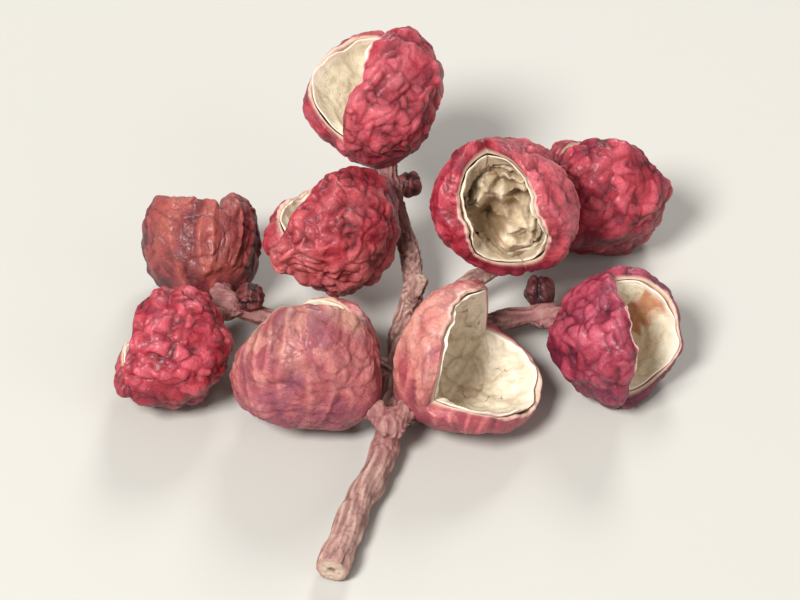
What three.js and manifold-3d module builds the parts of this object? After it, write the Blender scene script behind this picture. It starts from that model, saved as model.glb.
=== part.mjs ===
// A sprig of dried Sichuan peppercorns, lying on a flat surface: one thin stalk that forks to five fruits.
// Each fruit sits on a receptacle knob and is one or two split follicles. A follicle is a warty red husk
// that gapes along its seam, with a papery cream lining inside it. Millimetres, +Z up, the stalk's cut end
// towards -Y. The origin is the middle of the sprig's outline, on the surface that it lies on.
import * as THREE from "three";
import { ParametricGeometry } from "three/addons/geometries/ParametricGeometry.js";
import { mergeVertices } from "three/addons/utils/BufferGeometryUtils.js";
import Module from "manifold-3d";

const { clamp, degToRad, lerp, smoothstep } = THREE.MathUtils;
const v3 = (x, y, z) => new THREE.Vector3(x, y, z);

// ---- the stalk, mm ----
const STALK_RADIUS_CUT = 0.58;
const PEDICEL_RADIUS = 0.34;
const STUB_RADIUS = 0.26;
const TWIG_UNEVEN = 0.06; // share by which a twig's radius swells and shrinks along it
const TWIG_SWELLS = 2.9;
const KNOB_RADIUS = 0.64;
const KNOB_FLATTEN = 0.8;
const SEAT_GAP = 0.12; // from a knob to the foot of each follicle on it

// ---- the layers of a follicle, mm, measured inwards from the rind's skin between its warts ----
const RIND = 0.4;
const LIP_THINNING = 0.16;
const LINING_GAP = 0.12;
const LINING = 0.24;
const LINING_PROUD = 0.25; // how far the lining's free edge stands out past the rind's lip
const LINING_FOLD = 0.26; // how far that edge folds inwards
const WART_HEIGHT = 0.3;

// ---- the shape of a follicle, on a ball of radius 1 ----
const SIDE_SQUEEZE = 0.93;
const FOOT_TAPER = 0.2;
const FOOT_REACH = 0.12;
const BEAK = 0.07;
const DENT = 0.045;
const DENT_WAVES = { side: 2.6, belly: 2.3, foot: 3.4, skew: 1.7, footShare: 0.6 };
const LIP_CURL = 0.07;
const LIP_BAND = 0.6; // width in radians of the band beside the gape that thins, curls and folds
const LIP_PAST = 1.3; // how far past the rind's lip that band's strength still grows
const LIP_WAVE = 0.1;
const LIP_WAVES = 9;
const WART_COUNT = 62;
const WART_SPREAD = 0.15;
const WART_JITTER = 0.5;
const WRINKLE_COUNT = 9;
const WRINKLE_SWAY = { size: 1.5, waves: 5 };
const FOLD_WAVES = 11;
const FOLD_LEAST = 0.1; // the fold's depth goes from this share of LINING_FOLD to all of it
const SMOOTH_FOOT = { from: 0.8, to: 0.95 }; // no warts or wrinkles grow nearer the foot than this

// ---- how finely each surface is divided ----
const OUTER_COLUMNS = 22;
const INNER_COLUMNS = 10;
const ROWS = 14;
const TWIG_SIDES = 8;

// The middle of the outline, in the coordinates that the knobs and the stalk are given in.
const MIDDLE = v3(0.5, 5.3, 0);

const KNOBS = {
  front: v3(0.15, 0.9, 1.5),
  right: v3(5.9, 6.5, 1.5),
  back_left: v3(0.1, 11.3, 3.5),
  back_right: v3(5.5, 10.0, 1.7),
  left: v3(-5.9, 6.6, 1.85),
};

// axis points from the knob along the follicle, and mouth to where its seam gapes. slit is half the length
// of the open seam and gape half its width, as angles seen from the follicle's middle. warts is a share of
// the full wart height, and wrinkles the height of the lengthwise wrinkles in mm.
const FOLLICLES = [
  { name: "front_left", knob: "front", radius: 2.7, axis: [-2.8, 2.0, 1.1],
    mouth: [-0.45, 0.65, 0.6], slit: 92, gape: 40, warts: 0.4, wrinkles: 0.22, seed: 1 },
  { name: "front_right", knob: "front", radius: 2.85, axis: [2.95, 1.95, 1.23],
    mouth: [0.74, -0.2, 0.64], slit: 104, gape: 54, warts: 0.6, wrinkles: 0.06, seed: 2 },
  { name: "right", knob: "right", radius: 2.45, axis: [3.0, -2.2, 0.95],
    mouth: [0.8, -0.38, 0.5], slit: 96, gape: 44, warts: 0.9, wrinkles: 0, seed: 3 },
  { name: "back_left_near", knob: "back_left", radius: 2.4, axis: [-0.62, -0.76, 0.12],
    mouth: [-0.5, 0.6, 0.6], slit: 88, gape: 36, warts: 1, wrinkles: 0, seed: 4 },
  { name: "back_left_far", knob: "back_left", radius: 2.6, axis: [-0.15, 0.6, 0.79],
    mouth: [-0.65, 0.1, 0.75], slit: 94, gape: 38, warts: 1, wrinkles: 0, seed: 5 },
  { name: "back_right_near", knob: "back_right", radius: 2.6, axis: [-0.29, -0.37, 0.89],
    mouth: [-0.1, -0.88, 0.4], slit: 84, gape: 46, warts: 0.6, wrinkles: 0.08, seed: 6 },
  { name: "back_right_far", knob: "back_right", radius: 2.45, axis: [0.75, 0.6, 0.22],
    mouth: [0.5, 0.7, 0.5], slit: 90, gape: 38, warts: 1, wrinkles: 0, seed: 7 },
  { name: "left_far", knob: "left", radius: 2.2, axis: [-0.35, 0.9, 0.12],
    mouth: [-0.3, 0.9, 0.25], slit: 90, gape: 36, warts: 0.8, wrinkles: 0.08, seed: 8 },
  { name: "left_near", knob: "left", radius: 2.2, axis: [-0.62, -0.75, 0.09],
    mouth: [-0.7, 0.6, 0.3], slit: 90, gape: 40, warts: 1, wrinkles: 0, seed: 9 },
];

// Carpels that never grew: small round grains on a knob.
const UNDEVELOPED_CARPELS = [
  { knob: "right", offset: v3(-0.2, 0.7, 0.5), radius: 0.6 },
  { knob: "back_left", offset: v3(0.75, 0.3, -0.1), radius: 0.5 },
  { knob: "left", offset: v3(0.85, 0.1, 0.35), radius: 0.55 },
];

const RIND_FINISH = { color: 0x9e2b40, roughness: 0.62, metalness: 0 };
const LINING_FINISH = { color: 0xe6dcb4, roughness: 0.5, metalness: 0 };
const STALK_FINISH = { color: 0x6b4640, roughness: 0.8, metalness: 0 };

const wasm = await Module();
wasm.setup();

/** A repeatable number from 0 to 1 for an index and a seed. */
function draw(index, seed) {
  const wave = Math.sin(index * 12.9898 + seed * 78.233) * 43758.5453;
  return wave - Math.floor(wave);
}

/** A closed three.js geometry as a solid that can be joined and cut. */
function solidOf(geometry) {
  const bare = geometry.clone();
  bare.deleteAttribute("normal");
  bare.deleteAttribute("uv");
  const merged = mergeVertices(bare);
  const mesh = new wasm.Mesh({
    numProp: 3,
    vertProperties: merged.attributes.position.array,
    triVerts: new Uint32Array(merged.index.array),
  });
  return new wasm.Manifold(mesh);
}

/** The three.js geometry of a solid. */
function geometryOf(solid) {
  const mesh = solid.getMesh();
  const geometry = new THREE.BufferGeometry();
  geometry.setAttribute("position", new THREE.BufferAttribute(mesh.vertProperties, 3));
  geometry.setIndex(new THREE.BufferAttribute(mesh.triVerts, 1));
  geometry.computeVertexNormals();
  return geometry;
}

/** One split follicle. Its own frame has x to the side of the seam, y to the belly and z to the foot. */
class Follicle {
  constructor({ name, knob, radius, axis, mouth, slit, gape, warts, wrinkles, seed }) {
    this.name = name;
    this.radius = radius;
    this.slit = degToRad(slit);
    this.gape = degToRad(gape);
    this.warts = warts;
    this.wrinkles = wrinkles;
    this.seed = seed;
    const outward = v3(...axis).normalize();
    const foot = outward.clone().negate();
    const mouthWay = v3(...mouth).normalize();
    const belly = mouthWay.clone().addScaledVector(foot, -mouthWay.dot(foot)).normalize();
    const side = belly.clone().cross(foot);
    const lean = Math.acos(mouthWay.dot(foot));
    this.mouthMiddle = v3(0, Math.sin(lean), Math.cos(lean));
    this.seamWay = v3(0, Math.cos(lean), -Math.sin(lean));
    const reach = KNOB_RADIUS + SEAT_GAP + this.shaped(v3(0, 0, 1)).z * radius;
    const centre = KNOBS[knob].clone().addScaledVector(outward, reach);
    this.placement = new THREE.Matrix4().makeBasis(side, belly, foot).setPosition(centre);
    this.wartWays = this.wartDirections();
  }

  /** Wart centres, spread evenly over a ball and then jittered. */
  wartDirections() {
    const goldenTurn = Math.PI * (3 - Math.sqrt(5));
    return Array.from({ length: WART_COUNT }, (_, i) => {
      const height = 1 - (2 * i + 1) / WART_COUNT;
      const turn = i * goldenTurn + WART_JITTER * draw(i, this.seed);
      const ring = Math.sqrt(1 - height * height);
      return v3(ring * Math.cos(turn), ring * Math.sin(turn), height);
    });
  }

  /**
   * A point of the ball. turn goes from lip to lip round the back, and along from one end of the open
   * seam to the other: each turn is a circle through both ends.
   */
  ballPoint(turn, along) {
    const side = v3(1, 0, 0);
    const cosTurn = Math.cos(turn);
    const sinTurn = Math.sin(turn);
    const inward = this.mouthMiddle.clone().multiplyScalar(cosTurn).addScaledVector(side, sinTurn);
    const across = this.mouthMiddle.clone().multiplyScalar(-sinTurn).addScaledVector(side, cosTurn);
    const offset = Math.cos(this.slit) * sinTurn;
    const ring = Math.sqrt(1 - offset * offset);
    const half = Math.atan2(Math.sin(this.slit), Math.cos(this.slit) * cosTurn);
    const swing = (2 * along - 1) * half;
    return across
      .multiplyScalar(-offset)
      .addScaledVector(inward, ring * Math.cos(swing))
      .addScaledVector(this.seamWay, ring * Math.sin(swing));
  }

  /** The ball drawn out to a foot and a beak, squeezed at its sides and dented as it dried. */
  shaped(point) {
    const low = Math.max(0, point.z);
    const high = Math.max(0, -point.z);
    const waist = 1 - FOOT_TAPER * low * low;
    const { side, belly, foot, skew, footShare } = DENT_WAVES;
    const dents = Math.sin(side * point.x + this.seed) * Math.sin(belly * point.y + 2 * this.seed)
      + footShare * Math.sin(foot * point.z + 3 * this.seed + skew * point.x);
    return v3(
      point.x * SIDE_SQUEEZE * waist,
      point.y * waist,
      point.z + FOOT_REACH * low ** 3 - BEAK * high ** 6,
    ).multiplyScalar(1 + DENT * dents);
  }

  /** Half the width of the gape at a place along the seam: the lips wave a little. */
  gapeAt(along) {
    return this.gape * (1 + LIP_WAVE * Math.sin(LIP_WAVES * along + 2.1 * this.seed));
  }

  /** How near a turn is to the lip: 0 well away, 1 on it, and a little more past it. */
  lipNearness(turn, along) {
    const fromSeam = Math.min(turn, 2 * Math.PI - turn);
    return clamp(1 - (fromSeam - this.gapeAt(along)) / LIP_BAND, 0, LIP_PAST);
  }

  /** Height in mm of the warts and lengthwise wrinkles at a place on the rind. */
  relief(turn, along) {
    const point = this.ballPoint(turn, along);
    const nearest = Math.max(...this.wartWays.map((way) => way.dot(point)));
    const bump = Math.exp((nearest - 1) / (WART_SPREAD * WART_SPREAD));
    const sway = WRINKLE_SWAY.size * Math.sin(WRINKLE_SWAY.waves * along + this.seed);
    const ridge = (0.5 + 0.5 * Math.sin(WRINKLE_COUNT * turn + sway)) * Math.sin(Math.PI * along);
    const clear = 1 - smoothstep(point.z, SMOOTH_FOOT.from, SMOOTH_FOOT.to);
    return clear * (WART_HEIGHT * this.warts * bump + this.wrinkles * ridge);
  }

  /** A point in mm at a depth below the rind's skin, with the lips curled apart. */
  placed(turn, along, depth) {
    const point = this.shaped(this.ballPoint(turn, along).multiplyScalar(1 - depth / this.radius));
    const curl = LIP_CURL * this.lipNearness(turn, along) ** 2 * Math.sin(Math.PI * along);
    point.x += Math.sign(Math.PI - turn) * curl;
    return point.multiplyScalar(this.radius).applyMatrix4(this.placement);
  }

  /** A layer between two depths, open along the gape, as one closed body. */
  layer({ outerColumns, depthOut, depthIn, proud }) {
    const slices = outerColumns + INNER_COLUMNS + 2;
    const surface = (around, along, target) => {
      const column = Math.round(around * slices) % slices;
      const isOuter = column <= outerColumns;
      const share = isOuter ? column / outerColumns : 1 - (column - outerColumns - 1) / INNER_COLUMNS;
      const lip = this.gapeAt(along) - proud / this.radius;
      const isSeamEnd = along === 0 || along === 1;
      const turn = isSeamEnd ? Math.PI : lerp(lip, 2 * Math.PI - lip, share);
      const depth = isOuter ? depthOut(turn, along) : depthIn(turn, along);
      target.copy(this.placed(turn, along, depth));
    };
    return solidOf(new ParametricGeometry(surface, slices, ROWS));
  }

  /** The warty red rind. */
  husk() {
    return this.layer({
      outerColumns: OUTER_COLUMNS,
      depthOut: (turn, along) =>
        LIP_THINNING * Math.min(1, this.lipNearness(turn, along)) ** 4 - this.relief(turn, along),
      depthIn: () => RIND,
      proud: 0,
    });
  }

  /** The cream lining, whose free edge stands a little proud of the lip and folds inwards. */
  lining() {
    const top = (turn, along) => {
      const near = Math.min(1, this.lipNearness(turn, along)) ** 2 * Math.sin(Math.PI * along);
      const wave = 0.5 + 0.5 * Math.sin(FOLD_WAVES * along + this.seed + (turn < Math.PI ? 0 : 2));
      return RIND + LINING_GAP + LINING_FOLD * near * lerp(FOLD_LEAST, 1, wave);
    };
    return this.layer({
      outerColumns: INNER_COLUMNS,
      depthOut: top,
      depthIn: (turn, along) => top(turn, along) + LINING,
      proud: LINING_PROUD,
    });
  }
}

/** A flat-ended twig along a smooth curve, its radius going from one value to another. */
function twig(points, radiusFrom, radiusTo, steps) {
  const curve = new THREE.CatmullRomCurve3(points);
  const frames = curve.computeFrenetFrames(steps, false);
  const surface = (around, along, target) => {
    const row = Math.round(along * (steps + 2));
    const ring = clamp(row - 1, 0, steps);
    const turn = 2 * Math.PI * (Math.round(around * TWIG_SIDES) % TWIG_SIDES) / TWIG_SIDES;
    const isCapMiddle = row === 0 || row === steps + 2;
    const swell = 1 + TWIG_UNEVEN * Math.sin(TWIG_SWELLS * ring);
    const radius = isCapMiddle ? 0 : swell * lerp(radiusFrom, radiusTo, ring / steps);
    target
      .copy(curve.getPointAt(ring / steps))
      .addScaledVector(frames.normals[ring], radius * Math.cos(turn))
      .addScaledVector(frames.binormals[ring], radius * Math.sin(turn));
  };
  return solidOf(new ParametricGeometry(surface, TWIG_SIDES, steps + 2));
}

/** A grain of a radius, flattened along z, at a point. */
function grain(radius, flatten, point) {
  const geometry = new THREE.IcosahedronGeometry(radius, 1);
  geometry.scale(1, 1, flatten);
  geometry.translate(point.x, point.y, point.z);
  return solidOf(geometry);
}

/** The forked stalk with its knobs, its undeveloped carpels and a broken stub, as one body. */
function stalk() {
  const cutEnd = v3(-1.9, -5.4, 0.6);
  const fork = v3(0.5, 5.6, 1.1);
  const mainRoute = [cutEnd, v3(-1.1, -2.6, 0.6), v3(-0.1, 0.2, 0.6), v3(0.2, 3.0, 0.62), fork,
    v3(1.0, 8.4, 1.7), KNOBS.back_left];
  const pedicel = (route, steps) => twig(route, PEDICEL_RADIUS, PEDICEL_RADIUS, steps);
  const twigs = [
    twig(mainRoute, STALK_RADIUS_CUT, PEDICEL_RADIUS, 20),
    pedicel([v3(0.0, 0.4, 0.7), KNOBS.front], 2),
    pedicel([fork, v3(3.0, 6.2, 1.25), KNOBS.right], 6),
    pedicel([fork, v3(2.6, 7.9, 1.3), KNOBS.back_right], 7),
    pedicel([v3(0.3, 4.0, 0.8), v3(-2.6, 6.0, 1.0), KNOBS.left], 8),
    twig([fork, v3(0.9, 6.1, 2.4), v3(1.3, 6.3, 3.6)], STUB_RADIUS, STUB_RADIUS, 4),
  ];
  const knobs = Object.values(KNOBS).map((point) => grain(KNOB_RADIUS, KNOB_FLATTEN, point));
  const carpels = UNDEVELOPED_CARPELS.map(({ knob, offset, radius }) =>
    grain(radius, 1, KNOBS[knob].clone().add(offset)));
  return [...twigs, ...knobs, ...carpels].reduce((whole, part) => whole.add(part));
}

/** A block that fills the space below the surface that the sprig lies on. */
function blockBelow() {
  const geometry = new THREE.BoxGeometry(100, 100, 10);
  geometry.translate(0, 0, -5);
  return solidOf(geometry);
}

const below = blockBelow();

/** A named mesh of a solid, with a flat spot where it meets the surface. */
function piece(name, solid, finish) {
  const mesh = new THREE.Mesh(geometryOf(solid.subtract(below)), new THREE.MeshStandardMaterial(finish));
  mesh.name = name;
  return mesh;
}

const sprig = new THREE.Group();
sprig.position.copy(MIDDLE).negate();
sprig.add(piece("stalk", stalk(), STALK_FINISH));
for (const sizes of FOLLICLES) {
  const follicle = new Follicle(sizes);
  const husk = piece("husk_" + follicle.name, follicle.husk(), RIND_FINISH);
  const lining = piece("lining_" + follicle.name, follicle.lining(), LINING_FINISH);
  sprig.add(new THREE.Group().add(husk, lining));
}

export default sprig;
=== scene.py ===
"""Looks of a sprig of dried Sichuan peppercorns, built around its CAD frame.

The classes work in millimetres, +Z up, in the coordinates that the part's
source gives its knobs and stalk in. A finished mesh is scaled to metres, with
the middle of the sprig's outline as the origin.
"""

import logging
import math
from dataclasses import dataclass, field, replace
from enum import Enum
from typing import Callable, ClassVar, Mapping, Sequence

import bmesh
import bpy
import numpy as np
from mathutils import Matrix, Vector, kdtree


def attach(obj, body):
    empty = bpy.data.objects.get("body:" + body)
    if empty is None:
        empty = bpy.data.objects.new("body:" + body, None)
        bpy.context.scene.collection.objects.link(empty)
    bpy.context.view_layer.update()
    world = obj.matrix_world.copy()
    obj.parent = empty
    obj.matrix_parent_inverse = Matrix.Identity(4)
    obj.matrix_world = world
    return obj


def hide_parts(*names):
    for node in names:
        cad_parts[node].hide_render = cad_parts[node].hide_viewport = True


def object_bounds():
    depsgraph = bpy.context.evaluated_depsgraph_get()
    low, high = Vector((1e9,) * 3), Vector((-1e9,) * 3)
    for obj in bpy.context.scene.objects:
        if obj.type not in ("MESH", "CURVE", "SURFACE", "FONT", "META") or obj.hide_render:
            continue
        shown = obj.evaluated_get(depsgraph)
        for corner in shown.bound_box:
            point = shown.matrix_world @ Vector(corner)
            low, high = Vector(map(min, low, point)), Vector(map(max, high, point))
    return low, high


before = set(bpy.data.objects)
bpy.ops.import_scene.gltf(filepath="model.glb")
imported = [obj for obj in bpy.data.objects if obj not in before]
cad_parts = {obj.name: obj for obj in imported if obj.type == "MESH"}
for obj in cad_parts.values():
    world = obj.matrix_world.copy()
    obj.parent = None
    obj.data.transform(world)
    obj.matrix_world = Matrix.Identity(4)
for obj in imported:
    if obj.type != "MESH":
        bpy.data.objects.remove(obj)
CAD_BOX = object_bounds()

Array = np.ndarray
Point = tuple[float, float, float]
Span = tuple[float, float]
Colour = tuple[float, float, float, float]
Mesh = bpy.types.Mesh
Piece = bpy.types.Object
Material = bpy.types.Material
Tree = bpy.types.NodeTree
Node = bpy.types.Node
Socket = bpy.types.NodeSocket

LOG = logging.getLogger("sprig")
BODY = "root"
METRES_PER_MM = 0.001
MIDDLE_MM = np.array([0.5, 5.3, 0.0])
BOX_EASE_MM = 0.16
WELD_MM = 1e-4
FULL_TURN = 2 * math.pi


# ---- small tools


def srgb(code: str) -> Colour:
    """The linear colour that a six-digit hexadecimal code means, for a shader."""
    values = [int(code[i : i + 2], 16) / 255 for i in (0, 2, 4)]
    return (*(v / 12.92 if v <= 0.04045 else ((v + 0.055) / 1.055) ** 2.4 for v in values), 1.0)


def smooth_step(values: Array, low: float, high: float) -> Array:
    """Values taken from 0 at low to 1 at high along a smooth curve."""
    share = np.clip((values - low) / (high - low), 0.0, 1.0)
    return share * share * (3 - 2 * share)


def blend(low: Array | float, high: Array | float, share: Array | float) -> Array:
    """The values a share of the way from low to high."""
    return low + (high - low) * share


def unit(values: Sequence[float]) -> Array:
    """A direction of length 1."""
    vector = np.array(values, float)
    return vector / np.linalg.norm(vector)


def units(rows: Array) -> Array:
    """Directions of length 1, one row each."""
    return rows / np.linalg.norm(rows, axis=1)[:, None]


def draw(index: Array, seed: int) -> Array:
    """Repeatable numbers from 0 to 1, as the part's source draws them."""
    wave = np.sin(index * 12.9898 + seed * 78.233) * 43758.5453
    return wave - np.floor(wave)


@dataclass(frozen=True)
class Ripple:
    """Smooth noise in space: waves in many drawn directions, added up."""

    seed: int
    wavelength: float
    waves: int = 12
    spread: float = 0.45
    level: float = 0.6
    sharpness: float = 5.0

    def at(self, points: Array) -> Array:
        """The noise at some points.

        Args:
            points: One row of x, y and z for each point.

        Returns:
            A value of about -1 to 1 for each point.
        """
        rng = np.random.default_rng(self.seed)
        ways = units(rng.normal(size=(self.waves, 3)))
        lengths = self.wavelength * rng.uniform(1 - self.spread, 1 + self.spread, self.waves)
        phases = rng.uniform(0, FULL_TURN, self.waves)
        waves = np.sin(points @ (ways * (FULL_TURN / lengths)[:, None]).T + phases)
        return waves.sum(axis=1) * math.sqrt(2 / self.waves) * self.level

    def creases(self, points: Array) -> Array:
        """Narrow lines of value 1 where the noise crosses zero, 0 between them."""
        return np.clip(1 - np.abs(self.at(points)), 0, 1) ** self.sharpness


# ---- mesh tools


def edited(mesh: Mesh, edit: Callable[[bmesh.types.BMesh], object]) -> Mesh:
    """Runs bmesh operators on a mesh.

    Args:
        mesh: The mesh, which may be empty.
        edit: The operators, as a function of the open mesh.

    Returns:
        The same mesh.
    """
    bm = bmesh.new()
    bm.from_mesh(mesh)
    edit(bm)
    bm.to_mesh(mesh)
    bm.free()
    return mesh


def new_mesh(name: str, fill: Callable[[bmesh.types.BMesh], object]) -> Mesh:
    """A mesh filled by bmesh operators."""
    return edited(bpy.data.meshes.new(name), fill)


def read_rows(items: bpy.types.bpy_prop_collection, key: str) -> Array:
    """Reads three numbers from each vertex or normal of a mesh.

    Args:
        items: The mesh's vertices or vertex normals.
        key: Which of their values is read.

    Returns:
        One row for each of them.
    """
    values = np.empty(len(items) * 3, np.float32)
    items.foreach_get(key, values)
    return values.reshape(-1, 3).astype(float)


def write_points(mesh: Mesh, points: Array) -> None:
    """Moves the vertices of a mesh to new points."""
    mesh.vertices.foreach_set("co", points.astype(np.float32).ravel())
    mesh.update()


def write_masks(mesh: Mesh, **masks: Array) -> None:
    """Stores values at each vertex, for a material to read by their names."""
    for name, values in masks.items():
        mesh.attributes.new(name, "FLOAT", "POINT").data.foreach_set("value", values.astype(np.float32))


def flat_sheet(columns: int, rows: int) -> tuple[Mesh, Array, Array]:
    """A flat grid of faces, ready to be bent into a surface.

    Args:
        columns: How many faces it has across.
        rows: How many faces it has along.

    Returns:
        The mesh, and the column and row number of each of its vertices.
    """
    mesh = new_mesh(
        "sheet", lambda bm: bmesh.ops.create_grid(bm, x_segments=columns, y_segments=rows, size=0.5)
    )
    place = read_rows(mesh.vertices, "co") + 0.5
    return mesh, np.round(place[:, 0] * columns), np.round(place[:, 1] * rows)


def join_edges(bm: bmesh.types.BMesh) -> None:
    """Joins the vertices that coincide and turns every face outwards.

    Args:
        bm: The open mesh.
    """
    bmesh.ops.remove_doubles(bm, verts=bm.verts, dist=WELD_MM)
    bmesh.ops.dissolve_degenerate(bm, edges=bm.edges, dist=WELD_MM * 0.1)
    bmesh.ops.recalc_face_normals(bm, faces=bm.faces)


def kept_inside(points: Array) -> Array:
    """Points eased back where they would leave the box of the CAD model.

    Args:
        points: One row for each point, in millimetres from the sprig's middle.

    Returns:
        The same points, squeezed smoothly towards the box's sides from within.
    """
    low, high = (np.array(corner) / METRES_PER_MM for corner in CAD_BOX)
    over = points - (high - BOX_EASE_MM)
    eased = high - BOX_EASE_MM * np.exp(-np.maximum(over, 0) / BOX_EASE_MM)
    points = np.where(over > 0, eased, points)
    under = (low + BOX_EASE_MM) - points
    eased = low + BOX_EASE_MM * np.exp(-np.maximum(under, 0) / BOX_EASE_MM)
    return np.where(under > 0, eased, points)


def add_object(name: str, data: bpy.types.ID) -> Piece:
    """Adds an object to the scene.

    Args:
        name: Its name.
        data: Its mesh, lamp or camera.

    Returns:
        The object, at the origin.
    """
    made = bpy.data.objects.new(name, data)
    bpy.context.scene.collection.objects.link(made)
    return made


def finished(mesh: Mesh, name: str, material: Material, node: str | None = None) -> Piece:
    """Places a mesh in the part's frame and binds it there as a piece.

    Args:
        mesh: The closed mesh, in the millimetres of the part's source.
        name: The piece's name.
        material: Its finish.
        node: The CAD node that the piece stands for, if it does.

    Returns:
        The piece.
    """
    points = read_rows(mesh.vertices, "co") - MIDDLE_MM
    write_points(mesh, kept_inside(points) * METRES_PER_MM)
    mesh.shade_smooth()
    mesh.name = name
    mesh.materials.clear()
    mesh.materials.append(material)
    piece = add_object(name, mesh)
    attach(piece, BODY)
    if node:
        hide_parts(node)
    LOG.info("%s: %d faces", name, len(mesh.polygons))
    return piece


# ---- node tools


class Wiring:
    """Adds nodes to one node tree and links them."""

    def __init__(self, tree: Tree) -> None:
        """Keeps the tree to wire."""
        self.tree = tree

    def node(self, kind: str, inputs: Mapping | None = None, **settings: object) -> Node:
        """Adds a node.

        Args:
            kind: The node's type.
            inputs: Values or sockets for its inputs, by name or number.
            **settings: Values for its own properties.

        Returns:
            The node.
        """
        made = self.tree.nodes.new(kind)
        for name, value in settings.items():
            setattr(made, name, value)
        for key, value in (inputs or {}).items():
            self.feed(made.inputs[key], value)
        return made

    def feed(self, socket: Socket, value: object) -> None:
        """Gives an input its value.

        Args:
            socket: The input.
            value: A socket to link to it, or a plain value.
        """
        if isinstance(value, Socket):
            self.tree.links.new(value, socket)
        else:
            socket.default_value = value

    def mask(self, name: str) -> Socket:
        """The value that the mesh keeps at each vertex under a name."""
        return self.node("ShaderNodeAttribute", attribute_name=name).outputs["Fac"]

    def place(self) -> Socket:
        """The place on the piece, in its own coordinates."""
        return self.node("ShaderNodeTexCoord").outputs["Object"]

    def maths(self, operation: str, *values: object) -> Socket:
        """A calculation on one, two or three values."""
        return self.node("ShaderNodeMath", dict(enumerate(values)), operation=operation).outputs[0]

    def step(self, value: Socket, low: object, high: object) -> Socket:
        """A value taken smoothly from 0 at low to 1 at high."""
        inputs = {"Value": value, "From Min": low, "From Max": high}
        return self.node("ShaderNodeMapRange", inputs, interpolation_type="SMOOTHSTEP").outputs["Result"]

    def mixed(self, share: Socket, low: object, high: object) -> Socket:
        """Mixes two colours.

        Args:
            share: How far from the first to the second, from 0 to 1.
            low: The first colour, or its socket.
            high: The second colour, or its socket.

        Returns:
            The mixed colour.
        """
        made = self.node("ShaderNodeMix", data_type="RGBA")
        sockets = {socket.identifier: socket for socket in [*made.inputs, *made.outputs]}
        for name, value in {"Factor_Float": share, "A_Color": low, "B_Color": high}.items():
            self.feed(sockets[name], value)
        return sockets["Result_Color"]

    def noise(
        self, place: Socket, scale: object, detail: float = 3.0, roughness: float = 0.5, sway: float = 0.0
    ) -> bpy.types.NodeOutputs:
        """Cloudy noise from 0 to 1.

        Args:
            place: The place on the piece.
            scale: How many clouds lie on a metre.
            detail: How often finer clouds are added.
            roughness: The share that each finer one has.
            sway: How far the clouds are distorted.

        Returns:
            The noise as the outputs Fac and Color.
        """
        inputs = {"Vector": place, "Scale": scale, "Detail": detail, "Roughness": roughness}
        return self.node("ShaderNodeTexNoise", {**inputs, "Distortion": sway}).outputs

    def cells(self, place: Socket, scale: Socket, feature: str) -> Socket:
        """Distances in a net of irregular cells, of which so many lie on a metre."""
        inputs = {"Vector": place, "Scale": scale}
        return self.node("ShaderNodeTexVoronoi", inputs, feature=feature).outputs["Distance"]


@dataclass(frozen=True)
class SharedEffects:
    """The node groups that several finishes use."""

    mottle: Tree
    grain: Tree

    PORE_CELLS: ClassVar[float] = 1.6
    PORE_SPAN: ClassVar[Span] = (0.34, 0.1)
    CRACK_CELLS: ClassVar[float] = 0.85
    CRACK_SPAN: ClassVar[Span] = (0.16, 0.0)
    CRACK_SWAY: ClassVar[float] = 0.00022

    @classmethod
    def build(cls) -> "SharedEffects":
        """Makes the groups once, for every material to place."""
        mottle = cls._group("mottle", "Scale From To", "Mask", cls._mottle)
        return cls(mottle, cls._group("dry grain", "Scale Pores Cracks", "Height Pore Crack", cls._grain))

    @staticmethod
    def _group(name: str, inputs: str, outputs: str, fill: Callable[[Wiring, Mapping], dict]) -> Tree:
        """Makes a group.

        Args:
            name: Its name.
            inputs: The names of the values that it takes besides the place, spaced apart.
            outputs: The names of the values that it gives, spaced apart.
            fill: Wires its inputs and returns its outputs, by name.

        Returns:
            The group.
        """
        tree = bpy.data.node_groups.new(name, "ShaderNodeTree")
        tree.interface.new_socket("Place", in_out="INPUT", socket_type="NodeSocketVector")
        for way, titles in (("INPUT", inputs), ("OUTPUT", outputs)):
            for title in titles.split():
                tree.interface.new_socket(title, in_out=way, socket_type="NodeSocketFloat")
        wire = Wiring(tree)
        given = wire.node("NodeGroupInput").outputs
        wire.node("NodeGroupOutput", fill(wire, given))
        return tree

    @staticmethod
    def _mottle(wire: Wiring, given: Mapping) -> dict[str, Socket]:
        """Soft blotches of irregular outline."""
        cloud = wire.noise(given["Place"], given["Scale"], detail=5.0, roughness=0.6, sway=0.8)["Fac"]
        return {"Mask": wire.step(cloud, given["From"], given["To"])}

    @classmethod
    def _grain(cls, wire: Wiring, given: Mapping) -> dict[str, Socket]:
        """Wires fine dry wrinkles with small pores and cracks among them.

        Args:
            wire: The group's wiring.
            given: The group's inputs.

        Returns:
            The height of it all, and where the pores and the cracks are.
        """
        place, scale = given["Place"], given["Scale"]
        wrinkles = wire.noise(place, scale, detail=6.0, roughness=0.65, sway=0.6)
        pores = wire.cells(place, wire.maths("MULTIPLY", scale, cls.PORE_CELLS), "F1")
        pore = wire.maths("MULTIPLY", wire.step(pores, *cls.PORE_SPAN), given["Pores"])
        sway = {0: wrinkles["Color"], 1: (cls.CRACK_SWAY,) * 3, 2: place}
        bent = wire.node("ShaderNodeVectorMath", sway, operation="MULTIPLY_ADD").outputs["Vector"]
        net = wire.cells(bent, wire.maths("MULTIPLY", scale, cls.CRACK_CELLS), "DISTANCE_TO_EDGE")
        crack = wire.maths("MULTIPLY", wire.step(net, *cls.CRACK_SPAN), given["Cracks"])
        height = wire.maths("SUBTRACT", wire.maths("SUBTRACT", wrinkles["Fac"], pore), crack)
        return {"Height": height, "Pore": pore, "Crack": crack}


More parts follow.
